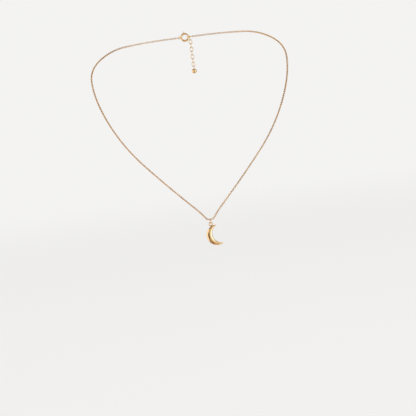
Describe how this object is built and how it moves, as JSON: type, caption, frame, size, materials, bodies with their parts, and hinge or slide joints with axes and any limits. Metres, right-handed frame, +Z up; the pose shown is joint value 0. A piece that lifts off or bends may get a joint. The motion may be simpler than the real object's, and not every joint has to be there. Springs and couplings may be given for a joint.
{
  "type": "pendant necklace",
  "caption": "Fine cable chain necklace in its worn shape, with a hollow puffed crescent on a jump ring, a spring ring clasp behind and a short extender.",
  "frame": {"origin": "middle of the neck that the chain goes round, level with the chain at the nape", "axes": "+Z up the neck, the pendant hangs in front on the -Y side, the clasp is behind on the +Y side, +X to the right of someone facing the pendant"},
  "size_m": [0.1248, 0.1381, 0.1292],
  "materials": {
    "pendant_gold": "high polish yellow gold plate",
    "chain_gold": "polished yellow gold plate, fine drawn wire",
    "ring_gold": "polished yellow gold plate, soldered wire",
    "clasp_gold": "polished yellow gold plate, rolled tube",
    "extender_gold": "polished yellow gold plate",
    "ball_gold": "high polish yellow gold plate",
    "spring_steel": "bright drawn wire"
  },
  "bodies": {
    "necklace": {"chain_left": "chain_gold", "chain_right": "chain_gold", "chain_centre_link": "chain_gold", "clasp_spring_ring": "clasp_gold", "clasp_eye": "ring_gold", "clasp_jump_ring": "ring_gold", "clasp_spring": "spring_steel", "end_ring": "ring_gold"},
    "clasp_bolt": {"clasp_bolt": "clasp_gold", "clasp_trigger": "clasp_gold"},
    "jump_ring": {"pendant_jump_ring": "ring_gold"},
    "pendant": {"pendant_loop": "ring_gold", "crescent_front_shell": "pendant_gold", "crescent_back_shell": "pendant_gold"},
    "extender_1": {"extender_link_01": "extender_gold"},
    "extender_2": {"extender_link_02": "extender_gold"},
    "extender_3": {"extender_link_03": "extender_gold"},
    "extender_4": {"extender_link_04": "extender_gold"},
    "extender_5": {"extender_link_05": "extender_gold"},
    "extender_6": {"extender_link_06": "extender_gold"},
    "extender_7": {"extender_link_07": "extender_gold"},
    "extender_8": {"extender_link_08": "extender_gold"},
    "extender_drop": {"extender_ball_loop": "ring_gold", "extender_end_ball": "ball_gold"}
  },
  "joints": [
    {"name": "jump_ring_swing", "type": "hinge", "parent": "necklace", "child": "jump_ring", "pos_m": [0, -0.085, -0.10955], "axis": [1, 0, 0], "range_deg": [-60, 60]},
    {"name": "pendant_sway", "type": "hinge", "parent": "jump_ring", "child": "pendant", "pos_m": [0, -0.085, -0.11219], "axis": [0, 1, 0], "range_deg": [-50, 50]},
    {"name": "clasp_bolt_slide", "type": "hinge", "parent": "necklace", "child": "clasp_bolt", "pos_m": [0.00047, 0.048, 0], "axis": [0, -1, 0], "range_deg": [0, 36], "stiffness_Nm_per_rad": 0.001, "springref_deg": -17.19, "deforming": ["clasp_spring"]},
    {"name": "extender_1_swing", "type": "hinge", "parent": "necklace", "child": "extender_1", "pos_m": [0.00376, 0.04985, 0], "axis": [1, 0, 0], "range_deg": [-35, 40]},
    {"name": "extender_2_swing", "type": "hinge", "parent": "extender_1", "child": "extender_2", "pos_m": [0.00376, 0.04985, -0.00247], "axis": [0, 1, 0], "range_deg": [-40, 40]},
    {"name": "extender_3_swing", "type": "hinge", "parent": "extender_2", "child": "extender_3", "pos_m": [0.00376, 0.04985, -0.00496], "axis": [1, 0, 0], "range_deg": [-40, 40]},
    {"name": "extender_4_swing", "type": "hinge", "parent": "extender_3", "child": "extender_4", "pos_m": [0.00376, 0.04985, -0.00745], "axis": [0, 1, 0], "range_deg": [-40, 40]},
    {"name": "extender_5_swing", "type": "hinge", "parent": "extender_4", "child": "extender_5", "pos_m": [0.00376, 0.04985, -0.00993], "axis": [1, 0, 0], "range_deg": [-40, 40]},
    {"name": "extender_6_swing", "type": "hinge", "parent": "extender_5", "child": "extender_6", "pos_m": [0.00376, 0.04985, -0.01243], "axis": [0, 1, 0], "range_deg": [-40, 40]},
    {"name": "extender_7_swing", "type": "hinge", "parent": "extender_6", "child": "extender_7", "pos_m": [0.00376, 0.04985, -0.01491], "axis": [1, 0, 0], "range_deg": [-40, 40]},
    {"name": "extender_8_swing", "type": "hinge", "parent": "extender_7", "child": "extender_8", "pos_m": [0.00376, 0.04985, -0.01741], "axis": [0, 1, 0], "range_deg": [-40, 40]},
    {"name": "extender_drop_swing", "type": "hinge", "parent": "extender_8", "child": "extender_drop", "pos_m": [0.00376, 0.04985, -0.01989], "axis": [1, 0, 0], "range_deg": [-40, 40]}
  ]
}
